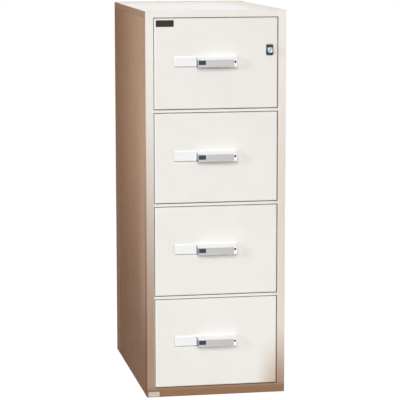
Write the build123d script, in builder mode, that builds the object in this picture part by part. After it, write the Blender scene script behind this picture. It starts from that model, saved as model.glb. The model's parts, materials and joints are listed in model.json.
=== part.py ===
"""Four-drawer fire-resistant filing cabinet, as separate pieces in one frame.

Millimetres. +Z is up, +X is to the right of someone facing the drawers, and the drawers
open towards -Y. The origin is under the middle of the whole object, at floor level.
Drawers are numbered from 1 at the top.
"""

import os

from build123d import *

# Case
CABINET_WIDTH = 500.0
CABINET_DEPTH = 787.0
CABINET_HEIGHT = 1372.0
DRAWER_COUNT = 4
CASE_SHEET = 1.5
CASE_CORNER_RADIUS = 3.0
SEAM_RADIUS = 0.6
BACK_WRAP = 80.0
TOP_SKIRT = 23.0
BASE_SHEET = 3.0
BACK_INSULATION = 52.0
LINER_SHEET = 1.2

# Face frame
FRAME_SHEET = 2.0
FRAME_EDGE_RADIUS = 1.2
STILE_WIDTH = 28.0
TOP_RAIL = 23.0
MIDDLE_RAIL = 9.0
BOTTOM_RAIL = 33.0
SEAL_GAP = 2.0
MOUTH_SIDE_STEP = 22.0
MOUTH_END_STEP = 16.0

# Drawer head
DRAWER_GAP = 2.5
DRAWER_PROUD = 3.0
HEAD_DEPTH = 22.0
HEAD_SHEET = 1.5
HEAD_EDGE_RADIUS = 6.0
HEAD_CORNER_RADIUS = 2.0
PLUG_GAP = 5.0
PLUG_DEPTH = 42.0
PLUG_EDGE_RADIUS = 3.0

# Drawer tray
TRAY_SHEET = 1.5
TRAY_FLOOR_GAP = 8.0
TRAY_HEADROOM = 27.25
TRAY_REAR_GAP = 12.0
TRAY_EDGE_RADIUS = 3.0
HEM_WIDTH = 5.0
HEM_HEIGHT = 9.0

# Telescopic slides
SLIDE_SPACE = 14.0
SLIDE_SHEET = 1.5
SLIDE_HEIGHT = 45.0
SLIDE_INSET = 5.0
SLIDE_END_GAP = 34.3
SLIDE_RISE = 95.0
SLIDE_CLEARANCE = 0.4
SLIDE_WEB_GAP = 1.5
SLIDE_LIP_GAP = 2.0

# Pull and card holder
PULL_RISE = 7.0
PULL_HEIGHT = 35.0
PULL_PROJECTION = 30.0
PULL_WALL = 3.0
PULL_LEFT_FOOT = 73.0
PULL_RIGHT_FOOT = 72.0
PULL_LEFT_DRAFT = 3.0
PULL_END_BEVEL = 13.0
PULL_END_BEVEL_DEPTH = 8.0
PULL_END_DRAFT = 3.0
PULL_TOP_LEDGE = 5.0
PULL_BROW_DROP = 10.8
PULL_LIP_RISE = 2.5
PULL_LIP_DEPTH = 3.0
HOLDER_LENGTH = 78.0
HOLDER_THICKNESS = 4.5
HOLDER_RIM = 1.5
HOLDER_CORNER_RADIUS = 2.0
CARD_RECESS = 1.0
CARD_THICKNESS = 0.6

# Pull screws
SCREW_RADIUS = 2.5
SCREW_HEAD_RADIUS = 4.2
SCREW_HEAD_HEIGHT = 2.5
SCREW_BITE = 8.0
SCREW_CLEARANCE = 0.3
SCREW_BOSS_HALF_WIDTH = 7.0
SCREW_SEAT_DEPTH = 5.0
SCREW_FROM_RIGHT_FOOT = 9.5

# Thumb button and latch bolt
BUTTON_WIDTH = 25.0
BUTTON_HEIGHT = 15.0
BUTTON_FROM_LEFT_FOOT = 17.5
BUTTON_DROP = 2.0
BUTTON_PROUD = 1.5
BUTTON_LENGTH = 13.0
BUTTON_TRAVEL = 6.0
BUTTON_CLEARANCE = 0.3
BUTTON_RIB_COUNT = 5
BUTTON_RIB_WIDTH = 2.4
BUTTON_RIB_HEIGHT = 0.8
STEM_RADIUS = 3.0
STEM_CLEARANCE = 1.0
BOLT_SETBACK = 7.0
BOLT_BRIDGE = 11.0
BOLT_THICKNESS = 5.0
BOLT_HEIGHT = 16.0
BOLT_TRAVEL = 8.0
BOLT_TIP_GAP = 0.4
BOLT_CLEARANCE = 0.4
KEEPER_THICKNESS = 3.0
KEEPER_MARGIN = 9.0
KEEPER_SIDE_MARGIN = 3.0

# Lock on the top drawer
LOCK_FROM_RIGHT = 30.0
LOCK_FROM_TOP = 113.3
LOCK_PLATE_WIDTH = 25.0
LOCK_PLATE_HEIGHT = 38.0
LOCK_PLATE_THICKNESS = 4.0
LOCK_PLATE_RADIUS = 4.0
LOCK_SLEEVE_RADIUS = 12.0
LOCK_SLEEVE_END_GAP = 0.5
PLUNGER_RADIUS = 10.0
PLUNGER_REACH = 13.0
PLUNGER_BURIED = 9.0
PLUNGER_EDGE_RADIUS = 1.0
PLUG_RADIUS = 6.0
PLUG_SEAT_DEPTH = 20.0
KEYWAY_WIDTH = 1.8
KEYWAY_HEIGHT = 8.0
KEYWAY_DEPTH = 14.0
TURNING_CLEARANCE = 0.05

# Gang lock bar in the right stile
LOCK_BAR_WIDTH = 10.0
LOCK_BAR_THICKNESS = 5.0
LOCK_BAR_TAIL = 45.0
LOCK_BAR_TRAVEL = 12.0
LOCK_BAR_GAP = 0.4
FINGER_HEIGHT = 14.0
FINGER_REACH = 7.5
FINGER_SETBACK = 8.0
FINGER_RISE = 60.0
FINGER_CLEARANCE = 2.0
FINGER_SEAT_GAP = 0.4
SLOT_CLEARANCE = 1.0

# Plates
NAME_PLATE_WIDTH = 63.0
NAME_PLATE_HEIGHT = 23.0
NAME_PLATE_THICKNESS = 1.0
NAME_PLATE_FROM_LEFT = 5.5
NAME_PLATE_FROM_TOP = 6.5
RATING_PLATE_WIDTH = 40.0
RATING_PLATE_HEIGHT = 17.0
RATING_PLATE_THICKNESS = 0.8
RATING_PLATE_FROM_LEFT = 4.5
RATING_PLATE_RISE = 2.5
PLATE_CORNER_RADIUS = 1.5

# How far a cut runs past the face it starts from
CUT_OVERRUN = 1.0

# Planes across the depth, counted backwards from the face of the frame
REACH = DRAWER_PROUD + PULL_PROJECTION + BUTTON_PROUD
FRONT = (REACH - CABINET_DEPTH) / 2
BACK = FRONT + CABINET_DEPTH
FACE = FRONT - DRAWER_PROUD
HEAD_BACK = FACE + HEAD_DEPTH
LEDGE_FRONT = HEAD_BACK + SEAL_GAP
LEDGE_BACK = LEDGE_FRONT + FRAME_SHEET
PLUG_BACK = HEAD_BACK + PLUG_DEPTH
LINER_BACK = BACK - CASE_SHEET - BACK_INSULATION - LINER_SHEET
TRAY_BACK = LINER_BACK - TRAY_REAR_GAP

# Widths and heights that follow
HALF_CASE = CABINET_WIDTH / 2
HALF_INNER_CASE = HALF_CASE - CASE_SHEET
OPENING_WIDTH = CABINET_WIDTH - 2 * STILE_WIDTH
RAIL_TOTAL = TOP_RAIL + BOTTOM_RAIL + (DRAWER_COUNT - 1) * MIDDLE_RAIL
OPENING_HEIGHT = (CABINET_HEIGHT - RAIL_TOTAL) / DRAWER_COUNT
HALF_OPENING = OPENING_WIDTH / 2
HALF_JAMB = HALF_OPENING + FRAME_SHEET
MOUTH_WIDTH = OPENING_WIDTH - 2 * MOUTH_SIDE_STEP
MOUTH_HEIGHT = OPENING_HEIGHT - 2 * MOUTH_END_STEP
HALF_MOUTH = MOUTH_WIDTH / 2
HEAD_WIDTH = OPENING_WIDTH - 2 * DRAWER_GAP
HEAD_HEIGHT = OPENING_HEIGHT - 2 * DRAWER_GAP
HALF_HEAD = HEAD_WIDTH / 2
PLUG_WIDTH = MOUTH_WIDTH - 2 * PLUG_GAP
PLUG_HEIGHT = MOUTH_HEIGHT - 2 * PLUG_GAP
TRAY_WIDTH = MOUTH_WIDTH - 2 * SLIDE_SPACE
HALF_TRAY = TRAY_WIDTH / 2
TRAY_HEIGHT = MOUTH_HEIGHT - TRAY_FLOOR_GAP - TRAY_HEADROOM
SKIRT_FOOT = CABINET_HEIGHT - TOP_SKIRT
DRAWERS = range(1, DRAWER_COUNT + 1)

# Pull, latch and lock places that follow
GRIP_TOP = PULL_HEIGHT / 2
GRIP_FRONT = FACE - PULL_PROJECTION
BUTTON_X = -PULL_LEFT_FOOT + BUTTON_FROM_LEFT_FOOT
SCREW_RIGHT_X = PULL_RIGHT_FOOT - SCREW_FROM_RIGHT_FOOT
SCREW_LEFT_X = -PULL_LEFT_FOOT - HOLDER_LENGTH / 2
BOLT_FRONT = FRONT + BOLT_SETBACK
BOLT_BACK = BOLT_FRONT + BOLT_THICKNESS
BOLT_TIP = -HALF_OPENING + BOLT_TIP_GAP
BOLT_END = BUTTON_X + STEM_RADIUS + STEM_CLEARANCE + BOLT_BRIDGE
FINGER_FRONT = FRONT + FINGER_SETBACK
FINGER_BACK = FINGER_FRONT + LOCK_BAR_THICKNESS
FINGER_TIP = HALF_HEAD - FINGER_REACH
LOCK_X = HALF_HEAD - LOCK_FROM_RIGHT


def opening_bottom(number):
    """Height of the lower edge of a drawer's opening in the face frame."""
    return BOTTOM_RAIL + (DRAWER_COUNT - number) * (OPENING_HEIGHT + MIDDLE_RAIL)


def opening_centre(number):
    """Height of the middle of a drawer's opening."""
    return opening_bottom(number) + OPENING_HEIGHT / 2


def mouth_floor(number):
    """Height of the floor of a drawer's compartment."""
    return opening_bottom(number) + MOUTH_END_STEP


def grip_height(number):
    """Height of the middle of a drawer's pull."""
    return opening_centre(number) + PULL_RISE


def finger_bottom(number):
    """Height of the lower edge of a drawer's finger on the lock bar."""
    return opening_centre(number) + FINGER_RISE


LOCK_Z = opening_centre(1) + HEAD_HEIGHT / 2 - LOCK_FROM_TOP


def upright(y):
    """Plane across the cabinet at depth y, facing the person at the drawers."""
    return Plane.XZ.offset(-y)


def block(x_low, x_high, y_low, y_high, z_low, z_high, mode=Mode.ADD):
    """Add or cut a block between two corners in the part being built."""
    with Locations(((x_low + x_high) / 2, (y_low + y_high) / 2, (z_low + z_high) / 2)):
        Box(x_high - x_low, y_high - y_low, z_high - z_low, mode=mode)


def save(builder, node):
    """Label a finished piece and write it as its own STEP file."""
    builder.part.label = node
    export_step(builder.part, f"parts/{node}.step")


os.makedirs("parts", exist_ok=True)

# Face frame: front sheet with four openings, their jambs, and the stepped ledge behind them
with BuildPart() as face_frame:
    with BuildSketch(upright(FRONT + FRAME_SHEET)):
        with Locations((0, CABINET_HEIGHT / 2)):
            Rectangle(CABINET_WIDTH, CABINET_HEIGHT)
    extrude(amount=FRAME_SHEET)
    fillet(face_frame.faces().sort_by(Axis.Y)[0].edges(), FRAME_EDGE_RADIUS)
    with BuildSketch(upright(LEDGE_BACK)):
        with Locations((0, (BASE_SHEET + CABINET_HEIGHT - CASE_SHEET) / 2)):
            Rectangle(2 * HALF_INNER_CASE, CABINET_HEIGHT - CASE_SHEET - BASE_SHEET)
    extrude(amount=FRAME_SHEET)
    with BuildSketch(upright(LEDGE_FRONT)):
        for number in DRAWERS:
            with Locations((0, opening_centre(number))):
                Rectangle(OPENING_WIDTH + 2 * FRAME_SHEET, OPENING_HEIGHT + 2 * FRAME_SHEET)
    extrude(amount=LEDGE_FRONT - FRONT - FRAME_SHEET)
    with BuildSketch(upright(LEDGE_FRONT)):
        for number in DRAWERS:
            with Locations((0, opening_centre(number))):
                Rectangle(OPENING_WIDTH, OPENING_HEIGHT)
    extrude(amount=LEDGE_FRONT - FRONT, mode=Mode.SUBTRACT)
    with BuildSketch(upright(LEDGE_BACK)):
        for number in DRAWERS:
            with Locations((0, opening_centre(number))):
                Rectangle(MOUTH_WIDTH, MOUTH_HEIGHT)
    extrude(amount=FRAME_SHEET, mode=Mode.SUBTRACT)
    for number in DRAWERS:
        finger_low = finger_bottom(number)
        bolt_centre = grip_height(number) - BUTTON_DROP
        block(
            HALF_OPENING - FRAME_SHEET, HALF_JAMB + FRAME_SHEET,
            FINGER_FRONT - SLOT_CLEARANCE, FINGER_BACK + SLOT_CLEARANCE,
            finger_low - FINGER_SEAT_GAP, finger_low + FINGER_HEIGHT + LOCK_BAR_TRAVEL + FINGER_CLEARANCE,
            mode=Mode.SUBTRACT,
        )
        block(
            -HALF_JAMB - FRAME_SHEET, -HALF_OPENING + FRAME_SHEET,
            BOLT_FRONT - SLOT_CLEARANCE, BOLT_BACK + SLOT_CLEARANCE,
            bolt_centre - BOLT_HEIGHT / 2 - SLOT_CLEARANCE, bolt_centre + BOLT_HEIGHT / 2 + SLOT_CLEARANCE,
            mode=Mode.SUBTRACT,
        )
save(face_frame, "face_frame")

# Side panels: flat sheets from the face frame back to the wrap of the back panel
for side, name in ((-1, "left"), (1, "right")):
    outer_x = side * HALF_CASE
    with BuildPart() as side_panel:
        block(
            min(outer_x, outer_x - side * CASE_SHEET), max(outer_x, outer_x - side * CASE_SHEET),
            FRONT + FRAME_SHEET, BACK - BACK_WRAP,
            0, SKIRT_FOOT,
        )
        outer_face = side_panel.faces().sort_by(Axis.X)[0 if side < 0 else -1]
        fillet(outer_face.edges(), SEAM_RADIUS)
    save(side_panel, f"side_panel_{name}")

# Back panel: one sheet that turns round both rear corners
with BuildPart() as back_panel:
    with BuildSketch(Plane.XY):
        with Locations((0, BACK - BACK_WRAP / 2)):
            Rectangle(CABINET_WIDTH, BACK_WRAP)
    extrude(amount=SKIRT_FOOT)
    fillet(back_panel.edges().filter_by(Axis.Z).group_by(Axis.Y)[-1], CASE_CORNER_RADIUS)
    block(
        -HALF_INNER_CASE, HALF_INNER_CASE,
        BACK - BACK_WRAP, BACK - CASE_SHEET,
        0, SKIRT_FOOT,
        mode=Mode.SUBTRACT,
    )
    wrap_edges = back_panel.edges().filter_by(Axis.Z).group_by(Axis.Y)[0]
    fillet([wrap_edges.sort_by(Axis.X)[0], wrap_edges.sort_by(Axis.X)[-1]], SEAM_RADIUS)
save(back_panel, "back_panel")

# Top cover: pan upside down, its front edge closed by the face frame
with BuildPart() as top_cover:
    with BuildSketch(Plane.XY.offset(SKIRT_FOOT)):
        with Locations((0, (FRONT + FRAME_SHEET + BACK) / 2)):
            Rectangle(CABINET_WIDTH, CABINET_DEPTH - FRAME_SHEET)
    extrude(amount=TOP_SKIRT)
    fillet(top_cover.edges().filter_by(Axis.Z).group_by(Axis.Y)[-1], CASE_CORNER_RADIUS)
    top_edges = top_cover.faces().sort_by(Axis.Z)[-1].edges().sort_by(Axis.Y)
    fillet(top_edges[1:], CASE_CORNER_RADIUS - SEAM_RADIUS)
    block(
        -HALF_INNER_CASE, HALF_INNER_CASE,
        FRONT + FRAME_SHEET, BACK - CASE_SHEET,
        SKIRT_FOOT, CABINET_HEIGHT - CASE_SHEET,
        mode=Mode.SUBTRACT,
    )
save(top_cover, "top_cover")

# Base pan: flat plate that the cabinet stands on
with BuildPart() as base_pan:
    block(-HALF_INNER_CASE, HALF_INNER_CASE, FRONT + FRAME_SHEET, BACK - CASE_SHEET, 0, BASE_SHEET)
save(base_pan, "base_pan")

# Insulation: one casting between the case and the compartments
with BuildPart() as insulation_casting:
    block(
        -HALF_INNER_CASE, HALF_INNER_CASE,
        LEDGE_BACK, BACK - CASE_SHEET,
        BASE_SHEET, CABINET_HEIGHT - CASE_SHEET,
    )
    for number in DRAWERS:
        floor = mouth_floor(number)
        block(
            -HALF_MOUTH - LINER_SHEET, HALF_MOUTH + LINER_SHEET,
            LEDGE_BACK, LINER_BACK + LINER_SHEET,
            floor - LINER_SHEET, floor + MOUTH_HEIGHT + LINER_SHEET,
            mode=Mode.SUBTRACT,
        )
save(insulation_casting, "insulation_casting")

# Compartment liner: side, back, floor and ceiling sheets of each compartment
with BuildPart() as compartment_liner:
    for number in DRAWERS:
        floor = mouth_floor(number)
        ceiling = floor + MOUTH_HEIGHT
        for side in (-1, 1):
            wall_low = min(side * HALF_MOUTH, side * (HALF_MOUTH + LINER_SHEET))
            block(
                wall_low, wall_low + LINER_SHEET,
                LEDGE_BACK, LINER_BACK,
                floor, ceiling,
            )
        for sheet_low in (floor - LINER_SHEET, ceiling):
            block(
                -HALF_MOUTH - LINER_SHEET, HALF_MOUTH + LINER_SHEET,
                LEDGE_BACK, LINER_BACK,
                sheet_low, sheet_low + LINER_SHEET,
            )
        block(
            -HALF_MOUTH - LINER_SHEET, HALF_MOUTH + LINER_SHEET,
            LINER_BACK, LINER_BACK + LINER_SHEET,
            floor - LINER_SHEET, ceiling + LINER_SHEET,
        )
save(compartment_liner, "compartment_liner")


def channel(web_x, lip_x, height, z):
    """Draw a C section with its web at web_x and its flanges reaching to lip_x."""
    towards_lip = 1 if lip_x > web_x else -1
    inner_web = web_x + towards_lip * SLIDE_SHEET
    with Locations(((web_x + lip_x) / 2, z)):
        Rectangle(abs(lip_x - web_x), height)
    with Locations(((inner_web + lip_x) / 2, z)):
        Rectangle(abs(lip_x - inner_web), height - 2 * SLIDE_SHEET, mode=Mode.SUBTRACT)


NEST_STEP = 2 * (SLIDE_SHEET + SLIDE_CLEARANCE)
SLIDE_FRONT = PLUG_BACK + SLIDE_INSET
SLIDE_BACK = TRAY_BACK - SLIDE_END_GAP
SLIDE_LENGTH = SLIDE_BACK - SLIDE_FRONT


def slide_height(number):
    """Height of the centre line of a drawer's slides."""
    return mouth_floor(number) + SLIDE_RISE


# Cabinet slide members: outer channels on the liner walls
with BuildPart() as cabinet_slide_members:
    with BuildSketch(upright(SLIDE_BACK)):
        for number in DRAWERS:
            for side in (-1, 1):
                channel(
                    side * HALF_MOUTH, side * (HALF_TRAY + SLIDE_LIP_GAP),
                    SLIDE_HEIGHT, slide_height(number),
                )
    extrude(amount=SLIDE_LENGTH)
save(cabinet_slide_members, "cabinet_slide_members")

# Lock bar: lies in the right stile, with one finger for each drawer
with BuildPart() as lock_bar:
    bar_left = HALF_JAMB + LOCK_BAR_GAP
    block(
        bar_left, bar_left + LOCK_BAR_WIDTH,
        FINGER_FRONT, FINGER_BACK,
        finger_bottom(DRAWER_COUNT) - LOCK_BAR_TAIL, finger_bottom(1) + FINGER_HEIGHT + LOCK_BAR_TAIL,
    )
    for number in DRAWERS:
        block(
            FINGER_TIP, bar_left + LOCK_BAR_WIDTH,
            FINGER_FRONT, FINGER_BACK,
            finger_bottom(number), finger_bottom(number) + FINGER_HEIGHT,
        )
save(lock_bar, "lock_bar")

# Latch keepers: slotted plates on the outside of the left jambs
with BuildPart() as latch_keepers:
    for number in DRAWERS:
        bolt_centre = grip_height(number) - BUTTON_DROP
        half_keeper = BOLT_HEIGHT / 2 + KEEPER_MARGIN
        block(
            -HALF_JAMB - KEEPER_THICKNESS, -HALF_JAMB,
            BOLT_FRONT - KEEPER_SIDE_MARGIN, BOLT_BACK + KEEPER_SIDE_MARGIN,
            bolt_centre - half_keeper, bolt_centre + half_keeper,
        )
        block(
            -HALF_JAMB - KEEPER_THICKNESS, -HALF_JAMB,
            BOLT_FRONT - BOLT_CLEARANCE, BOLT_BACK + BOLT_CLEARANCE,
            bolt_centre - BOLT_HEIGHT / 2 - BOLT_CLEARANCE, bolt_centre + BOLT_HEIGHT / 2 + BOLT_CLEARANCE,
            mode=Mode.SUBTRACT,
        )
save(latch_keepers, "latch_keepers")

# Rating plate: small bare plate at the left foot of the face frame
with BuildPart() as rating_plate:
    with BuildSketch(upright(FRONT)):
        with Locations((
            -HALF_CASE + RATING_PLATE_FROM_LEFT + RATING_PLATE_WIDTH / 2,
            RATING_PLATE_RISE + RATING_PLATE_HEIGHT / 2,
        )):
            RectangleRounded(RATING_PLATE_WIDTH, RATING_PLATE_HEIGHT, PLATE_CORNER_RADIUS)
    extrude(amount=RATING_PLATE_THICKNESS)
save(rating_plate, "rating_plate")


def cut_finger_pocket(number):
    """Cut the L-shaped pocket that the lock bar's finger lies in, open to the rear below."""
    low = finger_bottom(number)
    pocket_tip = FINGER_TIP - FINGER_CLEARANCE
    pocket_front = FINGER_FRONT - FINGER_CLEARANCE
    block(
        pocket_tip, HALF_HEAD + CUT_OVERRUN,
        pocket_front, HEAD_BACK + CUT_OVERRUN,
        low - FINGER_CLEARANCE, low + FINGER_HEIGHT + FINGER_CLEARANCE,
        mode=Mode.SUBTRACT,
    )
    block(
        pocket_tip, HALF_HEAD + CUT_OVERRUN,
        pocket_front, FINGER_BACK + FINGER_CLEARANCE,
        low, low + FINGER_HEIGHT + LOCK_BAR_TRAVEL + FINGER_CLEARANCE,
        mode=Mode.SUBTRACT,
    )


def cut_round(x, z, radius, y_front, y_back):
    """Cut a round hole along Y between two depths."""
    with BuildSketch(upright(y_back)) as hole:
        with Locations((x, z)):
            Circle(radius)
    extrude(hole.sketch, amount=y_back - y_front, mode=Mode.SUBTRACT)


def cut_head_holes(number):
    """Cut what the pull, latch and lock need through a drawer's head."""
    z = grip_height(number)
    screw_end = FACE + SCREW_BITE + SCREW_CLEARANCE
    for screw_x in (SCREW_LEFT_X, SCREW_RIGHT_X):
        cut_round(screw_x, z, SCREW_RADIUS + SCREW_CLEARANCE, FACE - CUT_OVERRUN, screw_end)
    stem_end = BOLT_BACK + STEM_CLEARANCE
    cut_round(BUTTON_X, z - BUTTON_DROP, STEM_RADIUS + STEM_CLEARANCE, FACE - CUT_OVERRUN, stem_end)
    half_slot = BOLT_HEIGHT / 2 + BOLT_CLEARANCE
    block(
        -HALF_HEAD - CUT_OVERRUN, BOLT_END + BOLT_TRAVEL + BOLT_CLEARANCE,
        BOLT_FRONT - BOLT_CLEARANCE, BOLT_BACK + BOLT_CLEARANCE,
        z - BUTTON_DROP - half_slot, z - BUTTON_DROP + half_slot,
        mode=Mode.SUBTRACT,
    )
    cut_finger_pocket(number)
    if number == 1:
        cut_round(LOCK_X, LOCK_Z, LOCK_SLEEVE_RADIUS, FACE - CUT_OVERRUN, HEAD_BACK - HEAD_SHEET)


def head_outline(y, margin):
    """Outline of a drawer head at depth y, drawn in by a margin."""
    with BuildSketch(upright(y)) as outline:
        with Locations((0, drawer_centre)):
            Rectangle(HEAD_WIDTH - 2 * margin, HEAD_HEIGHT - 2 * margin)
    return outline.sketch


def plug_block(margin, y_front, y_back, mode=Mode.ADD):
    """Add or cut the plug behind a drawer head, drawn in by a margin."""
    half_width = PLUG_WIDTH / 2 - margin
    half_height = PLUG_HEIGHT / 2 - margin
    block(
        -half_width, half_width,
        y_front, y_back,
        drawer_centre - half_height, drawer_centre + half_height,
        mode=mode,
    )


for number in DRAWERS:
    drawer = f"drawer_{number}"
    drawer_centre = opening_centre(number)
    grip_centre = grip_height(number)
    button_centre = grip_centre - BUTTON_DROP

    # Front shell: pressed sheet with rolled edges, open to the rear
    with BuildPart() as front_shell:
        extrude(head_outline(HEAD_BACK, 0), amount=HEAD_DEPTH)
        fillet(front_shell.edges().filter_by(Axis.Y), HEAD_CORNER_RADIUS)
        fillet(front_shell.faces().sort_by(Axis.Y)[0].edges(), HEAD_EDGE_RADIUS)
        offset(amount=-HEAD_SHEET, openings=front_shell.faces().sort_by(Axis.Y)[-1])
        cut_head_holes(number)
    save(front_shell, f"{drawer}_front_shell")

    # Inner pan: brim that closes the shell, and the plug that enters the compartment
    with BuildPart() as inner_pan:
        extrude(head_outline(HEAD_BACK, HEAD_SHEET), amount=HEAD_SHEET)
        fillet(inner_pan.edges().filter_by(Axis.Y), HEAD_CORNER_RADIUS)
        plug_block(0, HEAD_BACK, PLUG_BACK)
        fillet(inner_pan.faces().sort_by(Axis.Y)[-1].edges(), PLUG_EDGE_RADIUS)
        plug_block(HEAD_SHEET, HEAD_BACK - HEAD_SHEET, PLUG_BACK - HEAD_SHEET, mode=Mode.SUBTRACT)
        cut_finger_pocket(number)
    save(inner_pan, f"{drawer}_inner_pan")

    # Insulation core: cast block that fills the head and the plug
    with BuildPart() as core:
        extrude(head_outline(HEAD_BACK - HEAD_SHEET, HEAD_SHEET), amount=HEAD_DEPTH - 2 * HEAD_SHEET)
        fillet(core.edges().filter_by(Axis.Y), HEAD_CORNER_RADIUS)
        fillet(core.faces().sort_by(Axis.Y)[0].edges(), HEAD_EDGE_RADIUS)
        plug_block(HEAD_SHEET, HEAD_BACK - HEAD_SHEET, PLUG_BACK - HEAD_SHEET)
        fillet(core.faces().sort_by(Axis.Y)[-1].edges(), PLUG_EDGE_RADIUS)
        cut_head_holes(number)
    save(core, f"{drawer}_insulation")

    # Tray: deep steel box with hemmed sides that hanging folders rest on
    with BuildPart() as tray:
        tray_bottom = mouth_floor(number) + TRAY_FLOOR_GAP
        tray_top = tray_bottom + TRAY_HEIGHT
        block(-HALF_TRAY, HALF_TRAY, PLUG_BACK, TRAY_BACK, tray_bottom, tray_top)
        floor_edges = tray.edges().filter_by(Axis.Y).group_by(Axis.Z)[0]
        fillet(floor_edges, TRAY_EDGE_RADIUS)
        offset(amount=-TRAY_SHEET, openings=tray.faces().sort_by(Axis.Z)[-1])
        for side in (-1, 1):
            hem_low = min(side * HALF_TRAY, side * (HALF_TRAY + HEM_WIDTH))
            block(
                hem_low, hem_low + HEM_WIDTH,
                PLUG_BACK, TRAY_BACK,
                tray_top - HEM_HEIGHT, tray_top,
            )
    save(tray, f"{drawer}_tray")

    # Drawer slide members: inner channels on the tray sides
    with BuildPart() as drawer_slide_members:
        with BuildSketch(upright(SLIDE_BACK)):
            for side in (-1, 1):
                channel(
                    side * HALF_TRAY,
                    side * (HALF_MOUTH - 2 * SLIDE_SHEET - 2 * SLIDE_WEB_GAP),
                    SLIDE_HEIGHT - 2 * NEST_STEP, slide_height(number),
                )
        extrude(amount=SLIDE_LENGTH)
    save(drawer_slide_members, f"{drawer}_slide_members")

    # Middle slide members: channels that run between cabinet and drawer members
    with BuildPart() as middle_slide_members:
        with BuildSketch(upright(SLIDE_BACK)):
            for side in (-1, 1):
                channel(
                    side * (HALF_MOUTH - SLIDE_SHEET - SLIDE_WEB_GAP),
                    side * (HALF_TRAY + SLIDE_LIP_GAP),
                    SLIDE_HEIGHT - NEST_STEP, slide_height(number),
                )
        extrude(amount=SLIDE_LENGTH)
    save(middle_slide_members, f"{drawer}_middle_slide_members")

    # Pull: cast hood open below for the fingers, solid round its screw, with the card holder beside it
    with BuildPart() as hood_hollow:
        with BuildSketch(Plane.YZ.offset(-PULL_LEFT_FOOT + PULL_WALL)):
            with BuildLine():
                Polyline(
                    (FACE, grip_centre + GRIP_TOP - PULL_WALL),
                    (FACE - PULL_TOP_LEDGE, grip_centre + GRIP_TOP - PULL_WALL),
                    (GRIP_FRONT + PULL_WALL, grip_centre + GRIP_TOP - PULL_BROW_DROP - PULL_WALL / 2),
                    (GRIP_FRONT + PULL_WALL, grip_centre - GRIP_TOP - CUT_OVERRUN),
                    (FACE, grip_centre - GRIP_TOP - CUT_OVERRUN),
                    close=True,
                )
            make_face()
        extrude(amount=PULL_LEFT_FOOT + PULL_RIGHT_FOOT - 2 * PULL_WALL)
        with BuildSketch(Plane.XY.offset(grip_centre - PULL_HEIGHT)):
            with BuildLine():
                Polyline(
                    (-PULL_LEFT_FOOT + PULL_WALL, FACE),
                    (-PULL_LEFT_FOOT + PULL_LEFT_DRAFT + PULL_WALL, GRIP_FRONT + PULL_WALL),
                    (SCREW_RIGHT_X - SCREW_BOSS_HALF_WIDTH, GRIP_FRONT + PULL_WALL),
                    (SCREW_RIGHT_X - SCREW_BOSS_HALF_WIDTH, FACE),
                    close=True,
                )
            make_face()
        extrude(amount=2 * PULL_HEIGHT, mode=Mode.INTERSECT)
    with BuildPart() as pull:
        with BuildSketch(Plane.YZ.offset(-PULL_LEFT_FOOT)):
            with BuildLine():
                Polyline(
                    (FACE, grip_centre + GRIP_TOP),
                    (FACE - PULL_TOP_LEDGE, grip_centre + GRIP_TOP),
                    (GRIP_FRONT, grip_centre + GRIP_TOP - PULL_BROW_DROP),
                    (GRIP_FRONT, grip_centre - GRIP_TOP + PULL_LIP_RISE),
                    (GRIP_FRONT + PULL_LIP_DEPTH, grip_centre - GRIP_TOP),
                    (FACE, grip_centre - GRIP_TOP),
                    close=True,
                )
            make_face()
        extrude(amount=PULL_LEFT_FOOT + PULL_RIGHT_FOOT)
        with BuildSketch(Plane.XY.offset(grip_centre - PULL_HEIGHT)):
            with BuildLine():
                Polyline(
                    (-PULL_LEFT_FOOT, FACE),
                    (-PULL_LEFT_FOOT + PULL_LEFT_DRAFT, GRIP_FRONT),
                    (PULL_RIGHT_FOOT - PULL_END_DRAFT - PULL_END_BEVEL, GRIP_FRONT),
                    (PULL_RIGHT_FOOT - PULL_END_DRAFT, GRIP_FRONT + PULL_END_BEVEL_DEPTH),
                    (PULL_RIGHT_FOOT, FACE),
                    close=True,
                )
            make_face()
        extrude(amount=2 * PULL_HEIGHT, mode=Mode.INTERSECT)
        add(hood_hollow.part, mode=Mode.SUBTRACT)
        with BuildSketch(upright(FACE)):
            with Locations((-PULL_LEFT_FOOT - HOLDER_LENGTH / 2, grip_centre)):
                RectangleRounded(HOLDER_LENGTH, PULL_HEIGHT, HOLDER_CORNER_RADIUS)
            with Locations((-PULL_LEFT_FOOT - HOLDER_CORNER_RADIUS / 2, grip_centre)):
                Rectangle(2 * HOLDER_CORNER_RADIUS, PULL_HEIGHT)
        extrude(amount=HOLDER_THICKNESS)
        with BuildSketch(upright(FACE - HOLDER_THICKNESS)):
            with Locations((-PULL_LEFT_FOOT - HOLDER_LENGTH / 2, grip_centre)):
                Rectangle(HOLDER_LENGTH - 2 * HOLDER_RIM, PULL_HEIGHT - 2 * HOLDER_RIM)
        extrude(amount=-CARD_RECESS, mode=Mode.SUBTRACT)
        with BuildSketch(upright(GRIP_FRONT)):
            with Locations((BUTTON_X, button_centre)):
                Rectangle(BUTTON_WIDTH + 2 * BUTTON_CLEARANCE, BUTTON_HEIGHT + 2 * BUTTON_CLEARANCE)
        extrude(amount=-BUTTON_LENGTH - BUTTON_TRAVEL, mode=Mode.SUBTRACT)
        for screw_x in (SCREW_LEFT_X, SCREW_RIGHT_X):
            cut_round(screw_x, grip_centre, SCREW_RADIUS + SCREW_CLEARANCE, GRIP_FRONT, FACE)
        left_seat = FACE - HOLDER_THICKNESS + CARD_RECESS + SCREW_HEAD_HEIGHT
        right_seat = GRIP_FRONT + PULL_END_BEVEL_DEPTH / 2 + SCREW_SEAT_DEPTH
        head_hole = SCREW_HEAD_RADIUS + SCREW_CLEARANCE
        cut_round(SCREW_LEFT_X, grip_centre, head_hole, FACE - HOLDER_THICKNESS, left_seat)
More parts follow.
